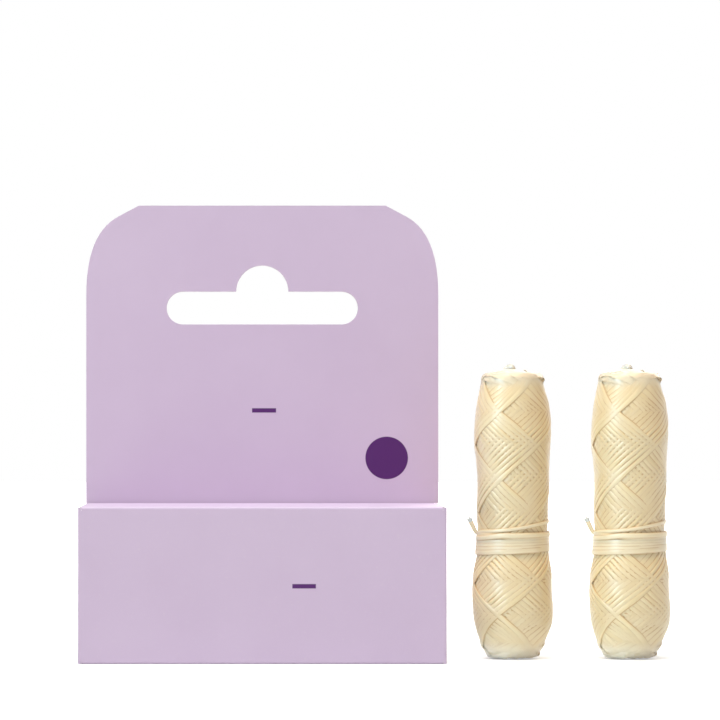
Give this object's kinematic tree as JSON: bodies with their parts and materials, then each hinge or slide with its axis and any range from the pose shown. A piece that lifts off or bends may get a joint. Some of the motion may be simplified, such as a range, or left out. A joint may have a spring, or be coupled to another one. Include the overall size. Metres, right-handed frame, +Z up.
{
  "type": "dental floss refill pack",
  "caption": "Folding carton with a hang tab and tuck ends, beside the wound dental floss refills that it holds, each a cross-wound bundle tied at its waist.",
  "frame": {"origin": "middle of the carton's base, on the surface that the pack stands on", "axes": "+Z up, +X to the right as the front is seen, towards the refills, +Y to the back; the front faces -Y"},
  "size_m": [0.0979, 0.0287, 0.0762],
  "materials": {
    "board": "matte lilac coated board",
    "floss": "waxed flat strand, cream, soft sheen",
    "floss_end": "frayed strand end, pale grey"
  },
  "bodies": {
    "carton": {"front_panel": "board", "left_side_panel": "board", "right_side_panel": "board", "back_panel": "board", "hang_panel": "board"},
    "top_lid": {"top_lid": "board"},
    "top_tongue": {"top_tongue": "board"},
    "top_left_dust_flap": {"top_left_dust_flap": "board"},
    "top_right_dust_flap": {"top_right_dust_flap": "board"},
    "bottom_lid": {"bottom_lid": "board"},
    "bottom_tongue": {"bottom_tongue": "board"},
    "bottom_left_dust_flap": {"bottom_left_dust_flap": "board"},
    "bottom_right_dust_flap": {"bottom_right_dust_flap": "board"},
    "left_refill": {"left_refill_core": "floss", "left_refill_winding": "floss", "left_refill_waist_tie": "floss", "left_refill_end_loop": "floss_end"},
    "right_refill": {"right_refill_core": "floss", "right_refill_winding": "floss", "right_refill_waist_tie": "floss", "right_refill_end_loop": "floss_end"}
  },
  "joints": [
    {"name": "top_lid_crease", "type": "hinge", "parent": "carton", "child": "top_lid", "pos_m": [0, -0.014, 0.0255], "axis": [1, 0, 0], "range_deg": [0, 150]},
    {"name": "top_tongue_crease", "type": "hinge", "parent": "top_lid", "child": "top_tongue", "pos_m": [0, 0.0128, 0.02505], "axis": [-1, 0, 0], "range_deg": [0, 25]},
    {"name": "top_left_dust_flap_crease", "type": "hinge", "parent": "carton", "child": "top_left_dust_flap", "pos_m": [-0.02955, 0, 0.0243], "axis": [0, 1, 0], "range_deg": [0, 85]},
    {"name": "top_right_dust_flap_crease", "type": "hinge", "parent": "carton", "child": "top_right_dust_flap", "pos_m": [0.02955, 0, 0.0243], "axis": [0, -1, 0], "range_deg": [0, 85]},
    {"name": "bottom_lid_crease", "type": "hinge", "parent": "carton", "child": "bottom_lid", "pos_m": [0, -0.014, 0], "axis": [-1, 0, 0], "range_deg": [0, 150]},
    {"name": "bottom_tongue_crease", "type": "hinge", "parent": "bottom_lid", "child": "bottom_tongue", "pos_m": [0, 0.0128, 0.00045], "axis": [1, 0, 0], "range_deg": [0, 25]},
    {"name": "bottom_left_dust_flap_crease", "type": "hinge", "parent": "carton", "child": "bottom_left_dust_flap", "pos_m": [-0.02955, 0, 0.0012], "axis": [0, -1, 0], "range_deg": [0, 85]},
    {"name": "bottom_right_dust_flap_crease", "type": "hinge", "parent": "carton", "child": "bottom_right_dust_flap", "pos_m": [0.02955, 0, 0.0012], "axis": [0, 1, 0], "range_deg": [0, 85]},
    {"name": "left_refill_lift", "type": "slide", "parent": "carton", "child": "left_refill", "axis": [0, 0, 1], "range_m": [0, 0.08]},
    {"name": "right_refill_lift", "type": "slide", "parent": "carton", "child": "right_refill", "axis": [0, 0, 1], "range_m": [0, 0.08]}
  ]
}
